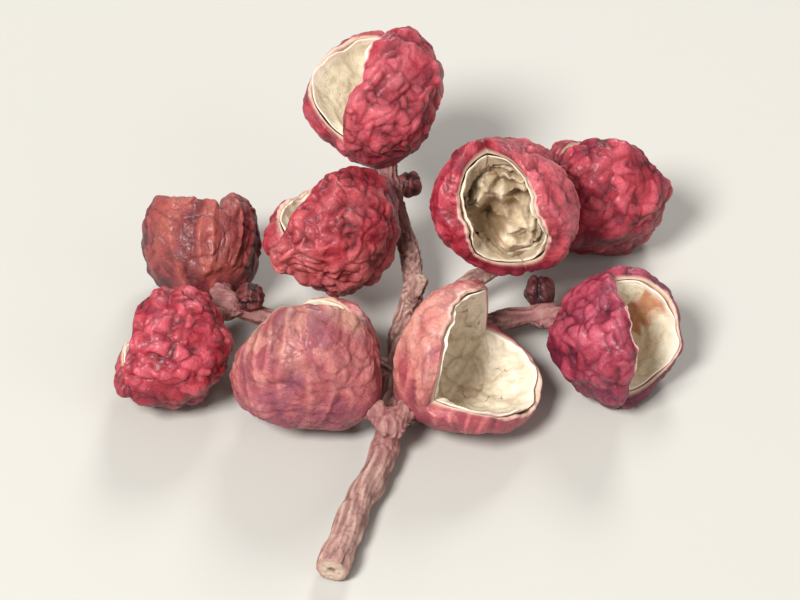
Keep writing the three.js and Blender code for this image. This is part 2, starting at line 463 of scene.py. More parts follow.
def new_material(name: str) -> tuple[Material, Wiring, Node]:
    """An empty material with its shader.

    Args:
        name: The material's name.

    Returns:
        The material, its wiring and its Principled shader.
    """
    material = bpy.data.materials.new(name)
    material.use_nodes = True
    material.node_tree.nodes.clear()
    wire = Wiring(material.node_tree)
    shader = wire.node("ShaderNodeBsdfPrincipled")
    wire.node("ShaderNodeOutputMaterial", {"Surface": shader.outputs["BSDF"]})
    return material, wire, shader


# ---- finishes


@dataclass(frozen=True)
class Veil:
    """A colour laid over what is below it, where a mask is.

    With a span, the mask counts smoothly from its first value to its second.
    """

    colour: str
    mask: str
    strength: float = 1.0
    span: Span | None = None


@dataclass(frozen=True)
class Cloud:
    """Soft blotches: how many lie on a metre, and the span of noise that they take in."""

    scale: float
    span: Span


@dataclass(frozen=True)
class Grain:
    """The fine relief of a surface.

    Its scale counts the wrinkles on a metre, its depth is in metres, and its
    roughness is given for the hollows and the heights. The rest are strengths,
    and a stretch along each axis.
    """

    scale: float
    pores: float
    cracks: float
    bump: float
    depth: float
    roughness: Span
    stretch: Point = (1.0, 1.0, 1.0)


@dataclass(frozen=True)
class Finish:
    """A dry surface: veils of colour over a base colour, with a fine grain.

    The base and the veils name colours, which are fields of the finish, and
    masks, which are its clouds, its grain's pores and cracks, or on the mesh.
    """

    name: str

    KIND: ClassVar[str]
    BASE: ClassVar[str]
    VEILS: ClassVar[Sequence[Veil]]
    GRAIN: ClassVar[Grain]
    SHINE: ClassVar[Mapping[str, float]] = {}

    def clouds(self) -> dict[str, Cloud]:
        """The blotches, by the names of their masks."""
        raise NotImplementedError

    def own_masks(self, wire: Wiring, place: Socket) -> dict[str, Socket]:
        """Further masks that this kind of finish works out, by their names."""
        return {}

    def painted(self, wire: Wiring, base: str, veils: Sequence[Veil], masks: Mapping[str, Socket]) -> object:
        """Lays veils over a base colour.

        Args:
            wire: The material's wiring.
            base: The base colour's field.
            veils: The veils, from the lowest to the uppermost.
            masks: The masks that aren't on the mesh.

        Returns:
            The colour, or its socket.
        """
        colour: object = srgb(getattr(self, base))
        for veil in veils:
            share = masks[veil.mask] if veil.mask in masks else wire.mask(veil.mask)
            if veil.span:
                share = wire.step(share, *veil.span)
            share = wire.maths("MULTIPLY", share, veil.strength)
            colour = wire.mixed(share, colour, srgb(getattr(self, veil.colour)))
        return colour

    def colour(self, wire: Wiring, masks: Mapping[str, Socket]) -> object:
        """The whole colour of the finish, from its wiring and masks."""
        return self.painted(wire, self.BASE, self.VEILS, masks)

    def material(self, effects: SharedEffects) -> Material:
        """Builds the material.

        Args:
            effects: The shared node groups.

        Returns:
            The material.
        """
        material, wire, shader = new_material(f"{self.KIND} {self.name}")
        place = wire.place()
        look = self.GRAIN
        stretched = wire.node("ShaderNodeMapping", {"Vector": place, "Scale": look.stretch}).outputs[0]
        inputs = {"Place": stretched, "Scale": look.scale, "Pores": look.pores, "Cracks": look.cracks}
        grain = wire.node("ShaderNodeGroup", inputs, node_tree=effects.grain).outputs
        masks = {"pore": grain["Pore"], "crack": grain["Crack"], **self.own_masks(wire, place)}
        for name, cloud in self.clouds().items():
            inputs = {"Place": place, "Scale": cloud.scale, "From": cloud.span[0], "To": cloud.span[1]}
            masks[name] = wire.node("ShaderNodeGroup", inputs, node_tree=effects.mottle).outputs["Mask"]
        hollow, high = look.roughness
        rough = {"Value": grain["Height"], "To Min": hollow, "To Max": high}
        bump = {"Height": grain["Height"], "Strength": look.bump, "Distance": look.depth}
        surface = {
            "Base Color": self.colour(wire, masks),
            "Roughness": wire.node("ShaderNodeMapRange", rough).outputs["Result"],
            "Normal": wire.node("ShaderNodeBump", bump).outputs["Normal"],
            **self.SHINE,
        }
        for title, value in surface.items():
            wire.feed(shader.inputs[title], value)
        return material


@dataclass(frozen=True)
class RindFinish(Finish):
    """The dried red skin of a husk, by the tones on and between its warts, with painted shade between the
    warts and in creases and a painted highlight on the wart tops.
    """

    # Painted highlight on the wart tops, also the pale tone of bright warts and pale spots.
    highlight_and_pale_tone: str = "e46876"
    flesh: str = "a62233"
    # Painted shade between the warts and in creases, also the dark of pores and cracks.
    shade_and_pits: str = "46060f"
    # Real dark blotches, also the dull underside, which is partly painted shade.
    blotch_and_underside_shade: str = "66162e"
    rim: str = "e2b8a8"
    inside: str = "d9bba2"
    # Paler colour on one side and on high places: partly painted light, partly the skin's own paler tone.
    faded: str = "dd7078"
    blotch_from: float = 0.52

    KIND: ClassVar[str] = "rind"
    BASE: ClassVar[str] = "shade_and_pits"
    BLOTCH_STEP: ClassVar[float] = 0.16
    RAGGED_SCALE: ClassVar[float] = 2600.0
    RAGGED_DEPTH: ClassVar[float] = 0.16
    VEILS: ClassVar[Sequence[Veil]] = (
        # Along the knoll mask: painted shade low between the warts, painted highlight on their tops.
        Veil("flesh", "knoll", span=(0.0, 0.56)),
        Veil("highlight_and_pale_tone", "knoll", 0.62, (0.4, 1.0)),
        Veil("highlight_and_pale_tone", "tone", 0.42, (0.55, 1.0)),
        # Low tone, which includes the dimmed underside, takes this dark colour: partly painted shade.
        Veil("blotch_and_underside_shade", "tone", 0.6, (0.45, 0.0)),
        Veil("blotch_and_underside_shade", "blotches", 0.68),
        Veil("highlight_and_pale_tone", "pale spots", 0.35),
        # Partly painted light on one side and on the high places, partly the skin's own paler tone.
        Veil("faded", "fade", 0.8),
        # Painted shade in the creases.
        Veil("shade_and_pits", "crease", 0.4),
        Veil("shade_and_pits", "pore", 0.8),
        Veil("shade_and_pits", "crack", 0.6),
        Veil("rim", "ragged rim", span=(0.95, 1.03)),
        Veil("inside", "inner"),
    )
    GRAIN: ClassVar[Grain] = Grain(4800.0, 0.3, 0.22, 0.55, 0.00007, (0.56, 0.32))
    SHINE: ClassVar[Mapping[str, float]] = {
        "Specular IOR Level": 0.42,
        "Coat Weight": 0.13,
        "Coat Roughness": 0.22,
    }

    def clouds(self) -> dict[str, Cloud]:
        """Dark blotches and small pale spots."""
        blotches = Cloud(360.0, (self.blotch_from, self.blotch_from + self.BLOTCH_STEP))
        return {"blotches": blotches, "pale spots": Cloud(1500.0, (0.52, 0.7))}

    def own_masks(self, wire: Wiring, place: Socket) -> dict[str, Socket]:
        """The cut edge of the rind, with a ragged border.

        Args:
            wire: The material's wiring.
            place: The place on the piece.

        Returns:
            The mask, by its name.
        """
        noise = wire.noise(place, self.RAGGED_SCALE)["Fac"]
        ragged = wire.maths("MULTIPLY_ADD", noise, self.RAGGED_DEPTH, -self.RAGGED_DEPTH / 2)
        return {"ragged rim": wire.maths("ADD", wire.mask("rim"), ragged)}


@dataclass(frozen=True)
class LiningFinish(Finish):
    """The papery inner skin of a husk, with painted shade deep in its hollow and in its creases."""

    paper: str = "f0e2ca"
    # Painted shade deep in the hollow, also the colour of the soft random shades.
    deep: str = "dacaac"
    edge: str = "f3ddcf"
    stain: str = "946c44"
    # The dark of cracks, also painted shade in the creases.
    fold: str = "a2896a"
    speck: str = "5e4c30"
    moss: str = "b9b590"
    stain_from: float = 0.62

    KIND: ClassVar[str] = "lining"
    BASE: ClassVar[str] = "paper"
    STAIN_STEP: ClassVar[float] = 0.12
    VEILS: ClassVar[Sequence[Veil]] = (
        # Painted shade, darker deeper into the cup.
        Veil("deep", "hollow"),
        Veil("moss", "flecks", 0.42),
        Veil("deep", "shades", 0.4),
        Veil("fold", "crack", 0.75),
        # Painted shade in the creases.
        Veil("fold", "crease", 0.6),
        Veil("stain", "stains", 0.8),
        Veil("speck", "specks", 0.7),
        Veil("edge", "rim", span=(0.78, 1.05)),
    )
    GRAIN: ClassVar[Grain] = Grain(4400.0, 0.2, 0.08, 0.5, 0.00006, (0.52, 0.36), (1.0, 1.0, 0.4))
    SHINE: ClassVar[Mapping[str, float]] = {"Subsurface Weight": 0.12, "Subsurface Scale": 0.0004}

    def clouds(self) -> dict[str, Cloud]:
        """Wide stains, soft shades, and small flecks and specks.

        Returns:
            The blotches, by the names of their masks.
        """
        return {
            "stains": Cloud(520.0, (self.stain_from, self.stain_from + self.STAIN_STEP)),
            "shades": Cloud(900.0, (0.4, 0.68)),
            "specks": Cloud(2100.0, (0.635, 0.69)),
            "flecks": Cloud(2900.0, (0.5, 0.66)),
        }


@dataclass(frozen=True)
class BarkFinish(Finish):
    """The dry mauve-brown bark of the stalk, pale where it was cut, with painted shade in its furrows and
    ring creases.
    """

    bark: str = "a87e72"
    ridge: str = "cbaa9c"
    # Painted shade in the furrows and ring creases, also the dark of pores.
    groove_shade_and_pits: str = "7c5650"
    blush: str = "8e4a50"
    wood: str = "c6ad9a"
    pith: str = "8d6f5c"

    KIND: ClassVar[str] = "stalk"
    BASE: ClassVar[str] = "groove_shade_and_pits"
    VEILS: ClassVar[Sequence[Veil]] = (
        # Along the ridge mask: painted shade low in the furrows and ring creases.
        Veil("bark", "ridge", span=(0.15, 0.6)),
        Veil("ridge", "ridge", 0.7, (0.5, 1.0)),
        Veil("ridge", "patches", 0.3),
        Veil("blush", "blush", 0.5),
        Veil("groove_shade_and_pits", "pore", 0.8),
    )
    CUT_VEILS: ClassVar[Sequence[Veil]] = (
        Veil("pith", "core", span=(0.34, 0.12)),
        Veil("bark", "core", 0.85, (0.62, 0.95)),
        Veil("pith", "patches", 0.35),
    )
    GRAIN: ClassVar[Grain] = Grain(4600.0, 0.4, 0.3, 0.5, 0.00006, (0.85, 0.6))

    def clouds(self) -> dict[str, Cloud]:
        """Paler patches."""
        return {"patches": Cloud(1300.0, (0.4, 0.75))}

    def colour(self, wire: Wiring, masks: Mapping[str, Socket]) -> object:
        """The bark's colour, and the wood's where the twig was cut."""
        bark = super().colour(wire, masks)
        return wire.mixed(wire.mask("cut"), bark, self.painted(wire, "wood", self.CUT_VEILS, masks))


class Rind(Enum):
    """The shades that the rinds dried to."""

    CRIMSON = RindFinish("crimson")
    SCARLET = RindFinish(
        "scarlet", highlight_and_pale_tone="e46e72", flesh="aa2a38", shade_and_pits="4a0a10", blotch_and_underside_shade="842634", faded="de8480"
    )
    ROSE = RindFinish(
        "rose", "da8e84", "a85056", "5e242c", "86425a", faded="d0a486", blotch_from=0.57
    )
    BLUSH = RindFinish("blush", "e28e86", "b04c55", "64202c", "984654", faded="daa08a")
    PURPLE = RindFinish("purple", "d6667a", "94243c", "440a1c", "64223e", blotch_from=0.5)
    RUSSET = RindFinish("russet", "b8564e", "7c2a34", "340c10", "4a1c26", faded="ae5a4c")
    DARK = RindFinish("dark", "8e463e", "602628", "260c10", "3a1820")


class Paper(Enum):
    """The shades of the linings."""

    IVORY = LiningFinish("ivory")
    TAN = LiningFinish("tan", paper="ecdabc", deep="bfa480", edge="f2e0ca", fold="6e5034", stain_from=0.56)
    STAINED = LiningFinish("stained", stain="b0622e", stain_from=0.52)


# ---- follicles


class Noise(Enum):
    """A follicle's noises in millimetres, before its own seed is added."""

    CLOSENESS = Ripple(180, 1.3)
    SKIN = Ripple(200, 0.55)
    WRINKLES = Ripple(260, 2.4)
    THIN_WRINKLES = Ripple(270, 1.15)
    CREASES = Ripple(300, 2.6, sharpness=7.0)
    SMALL_CREASES = Ripple(320, 1.5, sharpness=8.0)
    LUMPS = Ripple(340, 3.0)
    FADING = Ripple(360, 1.6)
    # Patchiness of the darker underside, which is partly painted shade.
    UNDERSIDE_NOISE = Ripple(380, 1.9)
    LINING_SWELLS = Ripple(400, 2.4)
    LINING_CREASES = Ripple(420, 1.9)
    LINING_WRINKLES = Ripple(440, 0.9, sharpness=4.0)
    PLEATS = Ripple(460, 2.6)
    LOOSE_FOLDS = Ripple(480, 3.4)
    LOOSE_EDGES = Ripple(490, 1.9)


@dataclass(frozen=True)
class Spots:
    """Places on a follicle, with one value of each kind for every place.

    Turn goes round from lip to lip in radians, and along runs from 0 to 1
    between the seam's two corners.
    """

    turn: Array
    along: Array

    @property
    def open(self) -> Array:
        """0 at the seam's two corners, rising to 1 half-way between them."""
        return np.sin(math.pi * self.along)


@dataclass(frozen=True)
class Skin:
    """The skin of a rind: its height in mm, and its masks from 0 to 1.

    They tell how far up a wart or wrinkle each place is, how deep in a crease,
    and how bright its wart is.
    """

    height: Array
    knoll: Array
    crease: Array
    tone: Array


@dataclass(frozen=True)
class Layer:
    """How a shell of a follicle is divided and where its two faces lie.

    The depths are in mm below the follicle's smooth form. Torn is the share of
    the tears that its edge has, and slump is how far it has come forward in mm.
    """

    outer_columns: int
    inner_columns: int
    lip_columns: int
    rows: int
    depth_out: Callable[[Spots], Array]
    depth_in: Callable[[Spots], Array]
    torn: float = 0.0
    slump: float = 0.0


@dataclass
class Follicle:
    """One split follicle: a warty red husk and its papery lining.

    Its own frame has x to the side of the seam, y to the belly and z to the
    foot. Angles are in degrees and lengths in millimetres, and warts, wrinkles
    and crumple are strengths. A span holds the two ends of a step or a change.
    """

    name: str
    knob: Point
    radius: float
    axis: Point
    mouth: Point
    slit: float
    gape: float
    warts: float
    wrinkles: float
    seed: int
    rind: Rind
    paper: Paper
    crumple: float = 0.5
    wrinkle_way: Point | None = None
    # The side painted paler: partly painted light, partly the skin's own paler tone.
    faded_way: Point | None = None
    crease_depth: float = 0.08
    pleats: float = 0.06
    lining_fold: float = 0.07
    lining_hold: float = 0.85
    lining_slump: float = 0.0

    # The form of the ball, for a radius of 1.
    side_squeeze: float = 0.93
    foot_taper: float = 0.2
    foot_reach: float = 0.12
    smooth_foot: Span = (0.8, 0.95)
    beak: float = 0.07
    dent: float = 0.045
    dent_waves: Point = (2.6, 2.3, 3.4)

    # The lips.
    lip_band: float = 0.6
    lip_past: float = 1.3
    lip_curl: float = 0.07
    lip_wave: float = 0.022
    lip_thinning: float = 0.28
    lip_calm: float = 0.75
    corner_span: Span = (0.0, 0.14)
    gape_wave: float = 0.1
    nicks: Sequence[tuple[float, int, int]] = ((0.032, 23, 1), (0.02, 47, 3), (0.01, 103, 5))

    # The relief of the rind.
    large_wart_count: int = 62
    large_wart_height: float = 0.156
    large_wart_spread: float = 0.15
    small_wart_count: int = 285
    small_wart_height: float = 0.14
    small_wart_slope: float = 0.44
    small_wart_sizes: float = 0.2
    small_wart_jitter: float = 0.05
    small_wart_bend: Span = (0.055, 0.42)
    wrinkle_span: Span = (0.12, 0.72)
    wrinkle_stretch: float = 0.95
    broad_share: float = 0.8
    thin_share: float = 0.75
    roughness: float = 0.018
    lumps: float = 0.12
    # The side that is painted darker: partly painted shade, partly the skin's own tone.
    underside_way: Point = (0.0, -0.45, -1.0)

    # The layers, and how they sit on the knob.
    knob_radius: float = 0.64
    seat_gap: float = 0.12
    rind_thickness: float = 0.4
    lining_gap: float = 0.12
    lining_thickness: Span = (0.24, 0.05)
    lining_proud: float = 0.15
    ray_waves: float = 42.0
    ray_height: float = 0.04
    pleat_waves: float = 5.0
    pleat_sway: float = 1.9

    # The columns of faces outside, inside and round a lip, and the rows along.
    rind_grid: tuple[int, int, int, int] = (200, 40, 8, 132)
    lining_grid: tuple[int, int, int, int] = (28, 84, 4, 104)

    mouth_middle: Array = field(init=False)
    seam_way: Array = field(init=False)
    turned: Array = field(init=False)
    centre: Array = field(init=False)
    outward: Array = field(init=False)

    def __post_init__(self) -> None:
        """Works out the follicle's own frame from its knob, axis and mouth."""
        self.outward = unit(self.axis)
        foot = -self.outward
        mouth = unit(self.mouth)
        belly = unit(mouth - mouth.dot(foot) * foot)
        lean = math.acos(mouth.dot(foot))
        self.mouth_middle = np.array([0, math.sin(lean), math.cos(lean)])
        self.seam_way = np.array([0, math.cos(lean), -math.sin(lean)])
        self.turned = np.column_stack([np.cross(belly, foot), belly, foot])
        foot_point = self.shaped(np.array([[0.0, 0.0, 1.0]]))[0, 2]
        self.centre = self.foot() + self.outward * foot_point * self.radius

    def foot(self) -> Array:
        """Where the follicle's foot meets its knob."""
        return np.array(self.knob) + self.outward * (self.knob_radius + self.seat_gap)

    def shaped(self, ball: Array) -> Array:
        """The ball drawn out to a foot and a beak, squeezed and dented.

        Args:
            ball: Points in or on a ball of radius 1, one row each.

        Returns:
            The points of the follicle's form, for a radius of 1.
        """
        x, y, z = ball.T
        low = np.maximum(0, z)
        high = np.maximum(0, -z)
        waist = 1 - self.foot_taper * low * low
        side, belly, foot = self.dent_waves
        dents = np.sin(side * x + self.seed) * np.sin(belly * y + 2 * self.seed)
        dents += 0.6 * np.sin(foot * z + 3 * self.seed + 1.7 * x)
        length = z + self.foot_reach * low**3 - self.beak * high**6
        form = np.column_stack([x * self.side_squeeze * waist, y * waist, length])
        return form * (1 + self.dent * dents)[:, None]

    def ball(self, at: Spots) -> Array:
        """The places on a ball of radius 1.

        Args:
            at: The places.

        Returns:
            One row for each place.
        """
        slit = math.radians(self.slit)
        side = np.array([1.0, 0, 0])
        cos_turn = np.cos(at.turn)[:, None]
        sin_turn = np.sin(at.turn)[:, None]
        inward = self.mouth_middle * cos_turn + side * sin_turn
        across = side * cos_turn - self.mouth_middle * sin_turn
        offset = math.cos(slit) * sin_turn
        ring = np.sqrt(1 - offset**2)
        half = np.arctan2(math.sin(slit), math.cos(slit) * cos_turn)
        swing = (2 * at.along[:, None] - 1) * half
        return ring * np.cos(swing) * inward + ring * np.sin(swing) * self.seam_way - offset * across

    def own_way(self, way: Point) -> Array:
        """A direction of the sprig, in the follicle's own frame."""
        return unit(way) @ self.turned

    def noise(self, kind: Noise, ball: Array) -> Array:
        """One of the noises, seeded for this follicle, at points of the ball."""
        return replace(kind.value, seed=kind.value.seed + self.seed).at(ball * self.radius)

    def lines(self, kind: Noise, ball: Array) -> Array:
        """The creases of one of the noises, at points of the ball."""
        return replace(kind.value, seed=kind.value.seed + self.seed).creases(ball * self.radius)

    def gape_at(self, along: Array) -> Array:
        """Half the width of the gape, with its waves and fine nicks.

        Args:
            along: How far along the seam, from 0 to 1.

        Returns:
            The angle in radians.
        """
        wave = 1 + self.gape_wave * np.sin(9 * along + 2.1 * self.seed)
        nicks = sum(size * np.sin(waves * along + shift * self.seed) for size, waves, shift in self.nicks)
        return math.radians(self.gape) * wave + nicks * np.sin(math.pi * along)

    def lip_nearness(self, at: Spots) -> Array:
        """How near the lip is: 0 well away, 1 on it, a little more past it."""
        from_seam = np.minimum(at.turn, FULL_TURN - at.turn)
        return np.clip(1 - (from_seam - self.gape_at(at.along)) / self.lip_band, 0, self.lip_past)

    def lip_share(self, at: Spots) -> Array:
        """How near the lip or one of its two corners is, from 0 to 1."""
        corner = 1 - smooth_step(at.open, *self.corner_span)
        return np.maximum(np.minimum(1, self.lip_nearness(at)), corner)

    def spread_ways(self, count: int, jitter: float) -> Array:
        """Directions spread evenly over a ball.

        Args:
            count: How many there are.
            jitter: How far each is swung out of its place, in radians.

        Returns:
            One row for each direction.
        """
        index = np.arange(count)
        height = 1 - (2 * index + 1) / count
        turn = index * math.pi * (3 - math.sqrt(5)) + jitter * draw(index, self.seed)
        ring = np.sqrt(1 - height**2)
        return np.column_stack([ring * np.cos(turn), ring * np.sin(turn), height])

    def large_warts(self, ball: Array) -> Array:
        """The large warts at points of the ball, from 0 between them to 1 on top."""
        nearest = (ball @ self.spread_ways(self.large_wart_count, 0.5).T).max(axis=1)
        return np.exp((nearest - 1) / self.large_wart_spread**2)

    def small_warts(self, ball: Array) -> tuple[Array, Array, Array]:
        """The small warts, packed like the drupelets of a raspberry.

        Args:
            ball: Points on the ball.

        Returns:
            How high each point is on its wart from 0 to 1, the wart's own
            height as a share, and its tone, which fades to 0.5 at its foot.
        """
        rng = np.random.default_rng(100 + self.seed)
        ways = self.spread_ways(self.small_wart_count, 0.0)
        ways = units(ways + rng.normal(scale=self.small_wart_jitter, size=ways.shape))
        bend, wavelength = self.small_wart_bend
        bends = [bend * Ripple(130 + 10 * self.seed + i, wavelength).at(ball) for i in range(3)]
        away = np.arccos(np.clip(units(ball + np.column_stack(bends)) @ ways.T, -1, 1)) * self.radius
        away -= rng.uniform(0, self.small_wart_sizes, self.small_wart_count)
        nearest = np.argmin(away, axis=1)
        pair = np.partition(away, 1, axis=1)[:, :2]
        rise = np.clip((pair[:, 1] - pair[:, 0]) / self.small_wart_slope, 0, 1)
        heights = rng.uniform(0.25, 1, self.small_wart_count)
        tones = rng.uniform(-0.5, 0.5, self.small_wart_count)
        apart = smooth_step(self.noise(Noise.CLOSENESS, ball), -0.9, 0.5)
        small = 1 - (1 - rise) ** 2 * blend(0.3, 1.0, apart)
        return small, heights[nearest], 0.5 + tones[nearest] * np.minimum(1, 3 * rise)

    def lengthwise(self, at: Spots, ball: Array) -> tuple[Array, Array, Array]:
        """The way that the wrinkles run.

        Args:
            at: The places.
            ball: The same places on the ball.

        Returns:
            The turn round the wrinkles' poles, the share of the way from pole
            to pole, and a value of 0 at the poles and 1 between them.
        """
        if self.wrinkle_way is None:
            return at.turn, at.along, at.open
        pole = self.own_way(self.wrinkle_way)
        first = unit(np.cross(pole, [0.3, 0.9, 0.2]))
        second = np.cross(pole, first)
        high = np.clip(ball @ pole, -1, 1)
        return np.arctan2(ball @ second, ball @ first), np.arccos(high) / math.pi, np.sqrt(1 - high**2)

    def wrinkled(self, at: Spots, ball: Array) -> tuple[Array, Array, Array]:
        """The wrinkles, broad and thin, that die out towards their poles.

        Args:
            at: The places.
            ball: The same places on the ball.

        Returns:
            How high each place is on a broad wrinkle and on a thin one, and
            how clear it is of the poles, all from 0 to 1.
        """
        angle, stretch, clear = self.lengthwise(at, ball)
        clear = smooth_step(clear, *self.wrinkle_span)
        spokes = np.column_stack([np.cos(angle), np.sin(angle), self.wrinkle_stretch * stretch])
        broad = smooth_step(self.noise(Noise.WRINKLES, spokes), -0.8, 0.8)
        thin = 1 - 1.4 * np.abs(self.noise(Noise.THIN_WRINKLES, spokes))
        return broad * clear, np.clip(thin, 0, 1), clear

    def relief(self, at: Spots) -> Skin:
        """The relief of the rind's skin.

        Args:
            at: The places.

        Returns:
            The skin there.
        """
        ball = self.ball(at)
        large = self.large_warts(ball)
        small, share, tone = self.small_warts(ball)
        broad, thin, between = self.wrinkled(at, ball)
        crease = self.lines(Noise.CREASES, ball)
        crease = np.maximum(crease, 0.7 * self.lines(Noise.SMALL_CREASES, ball))
        height = self.large_wart_height * self.warts * large
        height += self.small_wart_height * blend(0.35, 1.0, self.warts) * small * share
        height += self.wrinkles * (self.broad_share * broad + self.thin_share * thin * between)
        height += self.roughness * self.noise(Noise.SKIN, ball)
        height += self.lumps * self.noise(Noise.LUMPS, ball) - self.crease_depth * crease
        folds = np.clip(0.08 + 0.4 * broad / np.maximum(between, 0.05) + 0.62 * thin, 0, 1)
        knoll = np.clip(blend(large, small * blend(0.4, 1.0, share), 0.62), 0, 1)
        knoll = blend(knoll, folds, between * min(0.9, 6 * self.wrinkles))
        calm = 1 - self.lip_calm * smooth_step(self.lip_share(at), 0.6, 1.0)
        clear = 1 - smooth_step(ball[:, 2], *self.smooth_foot)
        return Skin(clear * calm * height, knoll, crease * clear, tone)

    def placed(self, at: Spots, depth: Array) -> Array:
        """Where places of the follicle lie, its lips curled apart.

        Args:
            at: The places.
            depth: How deep they lie below the rind's skin, in mm.

        Returns:
            One row for each place, in mm.
        """
        form = self.shaped(self.ball(at) * (1 - depth / self.radius)[:, None])
        near = self.lip_nearness(at) ** 2 * at.open
        way = np.sign(math.pi - at.turn)
        form[:, 0] += way * self.lip_curl * near * (1 + 0.5 * np.sin(9 * at.along + way + self.seed))
        form *= (1 + self.lip_wave * near * np.sin(15 * at.along + 2 * way + 2 * self.seed))[:, None]
        return self.centre + (form * self.radius) @ self.turned.T

    def shell(self, layer: Layer) -> tuple[Mesh, Spots, Array]:
        """Bends a flat sheet round the follicle into a closed shell.

        Args:
            layer: The shell's divisions and depths.

        Returns:
            The mesh, and for its vertices their places and how far they lie
            from the outer face, at 0, to the inner one, at 1.
        """
        spans = [layer.outer_columns, layer.lip_columns, layer.inner_columns, layer.lip_columns]
        starts = np.cumsum([0, *spans])
        mesh, column, row = flat_sheet(int(starts[-1]), layer.rows)
        along = row / layer.rows
        parts = [(column - starts[i]) / spans[i] for i in range(len(spans))]
        chosen = [column <= start for start in starts[1:4]]
        one = np.ones_like(column)
        share = np.select(chosen, [parts[0], one, 1 - parts[2]], 0 * one)
        angle = math.pi * np.select(chosen, [0 * one, parts[1], one], 1 - parts[3])
        inner = (1 - np.cos(angle)) / 2
        at_corner = (row == 0) | (row == layer.rows)
        side = np.where(share < 0.5, -1.0, 1.0)
        lip = self.gape_at(along) - layer.torn * self.torn_edge(side, along) / self.radius
        at = Spots(np.where(at_corner, math.pi, blend(lip, FULL_TURN - lip, share)), along)
        out = layer.depth_out(at)
        deep = layer.depth_in(at)
        bulge = np.sin(angle) * (deep - out) / 2 / self.radius
        at = replace(at, turn=np.where(at_corner, math.pi, at.turn + side * bulge))
        forward = layer.slump * self.folded_back(at)[:, None] * (self.turned @ self.mouth_middle)
        write_points(mesh, self.placed(at, blend(out, deep, inner)) + forward)
        return mesh, at, inner

    def rind_out(self, at: Spots) -> Array:
        """Depth of the rind's outer skin below the smooth form."""
        near = np.minimum(1, self.lip_nearness(at))
        return self.lip_thinning * near**4 * at.open**0.5 - self.relief(at).height

    def rind_in(self, at: Spots) -> Array:
        """Depth of the rind's inner skin."""
        return np.full_like(at.turn, self.rind_thickness)

    def husk(self, effects: SharedEffects) -> Piece:
        """Builds the warty red rind.

        Args:
            effects: The shared node groups.

        Returns:
            The piece.
        """
        mesh, at, inner = self.shell(Layer(*self.rind_grid, self.rind_out, self.rind_in))
        skin = self.relief(at)
        write_masks(
            mesh,
            # knoll and crease carry painted shade between the warts and in creases, and a painted highlight
            # on the wart tops.
            knoll=skin.knoll,
            crease=skin.crease,
            rim=self.lip_nearness(at) * at.open**0.3,
            inner=smooth_step(inner, 0.35, 0.9),
            # The tone is dimmed on the underside: partly painted shade, partly the skin's own darker tone.
            tone=skin.tone * (1 - 0.8 * self.underside_tone_and_shade(at)),
            # Paler on one side and on its high places: partly painted light, partly the skin's own paler
            # tone.
            fade=self.fade(at, skin.knoll),
        )
        material = self.rind.value.material(effects)
        return finished(edited(mesh, join_edges), "rind_" + self.name, material, "husk_" + self.name)

    def underside_tone_and_shade(self, at: Spots) -> Array:
        """How much duller and darker the skin is on its underside: partly painted shade, partly the skin's
        own darker tone.

        Args:
            at: The places.

        Returns:
            A value from 0 to 1 for each place.
        """
        ball = self.ball(at)
        patchy = 0.2 * self.noise(Noise.UNDERSIDE_NOISE, ball)
        return smooth_step(ball @ self.own_way(self.underside_way) + patchy, -0.05, 0.85)

    def fade(self, at: Spots, knoll: Array) -> Array:
        """How far the skin is paler on one side, most on its high places: partly painted light on that side
        and on the high places, partly the skin's own paler tone.

        Args:
            at: The places.
            knoll: How high each lies on its wart or wrinkle.

        Returns:
            A value from 0 to 1 for each place.
        """
        if self.faded_way is None:
            return 0 * knoll
        ball = self.ball(at)
        patchy = 0.35 * self.noise(Noise.FADING, ball)
        side = smooth_step(ball @ self.own_way(self.faded_way) + patchy, 0.1, 1.0)
        return side * blend(0.05, 1.0, knoll**1.3)

    def torn_edge(self, side: Array, along: Array) -> Array:
        """How far the torn edge of the lining stands out past the rind's lip, in mm."""
        tears = 0.09 * np.sin(17 * along + self.seed + side) + 0.05 * np.sin(43 * along + 2 * side)
        return self.lining_proud + tears * np.sin(math.pi * along)

    def folded_back(self, at: Spots) -> Array:
        """Where a loose lining has come forward off the back, in sharp folds.

        Args:
            at: The places.

        Returns:
            How far it has come at each of them, from 0 to 1.1.
        """
        ball = self.ball(at)
        back = smooth_step(-(ball @ self.mouth_middle), -0.3, 0.8)
        broad = 1 - np.abs(self.noise(Noise.LOOSE_FOLDS, ball))
        sharp = 1 - np.abs(self.noise(Noise.LOOSE_EDGES, ball))
        return back * np.clip(0.4 + 0.4 * broad + 0.25 * sharp, 0, 1.1)

    def crumpled(self, at: Spots) -> tuple[Array, Array]:
        """How the lining is crumpled inwards.

        Args:
            at: The places.

        Returns:
            How far it stands in there, in mm, and its creases from 0 to 1.
        """
        ball = self.ball(at)
        soft = 0.5 + 0.5 * self.noise(Noise.LINING_SWELLS, ball)
        crease = self.lines(Noise.LINING_CREASES, ball)
        fine = self.lines(Noise.LINING_WRINKLES, ball)
        near = np.minimum(1, self.lip_nearness(at))
        rays = 0.5 + 0.5 * np.sin(self.ray_waves * at.along + 2.5 * soft + self.seed)
        folds = self.pleat_waves * at.turn + self.pleat_sway * self.noise(Noise.PLEATS, ball)
        pleat = (1 - np.abs(np.sin(folds))) ** 1.6
        height = self.crumple * (0.16 * soft + 0.16 * crease + 0.06 * fine) + self.pleats * pleat
        height = height * (1 - self.lining_hold * near**2) + self.ray_height * rays * near**2
        lines = np.clip(crease + 0.5 * fine + 0.3 * pleat, 0, 1) * min(1.0, self.crumple)
        return height * at.open**0.5, lines

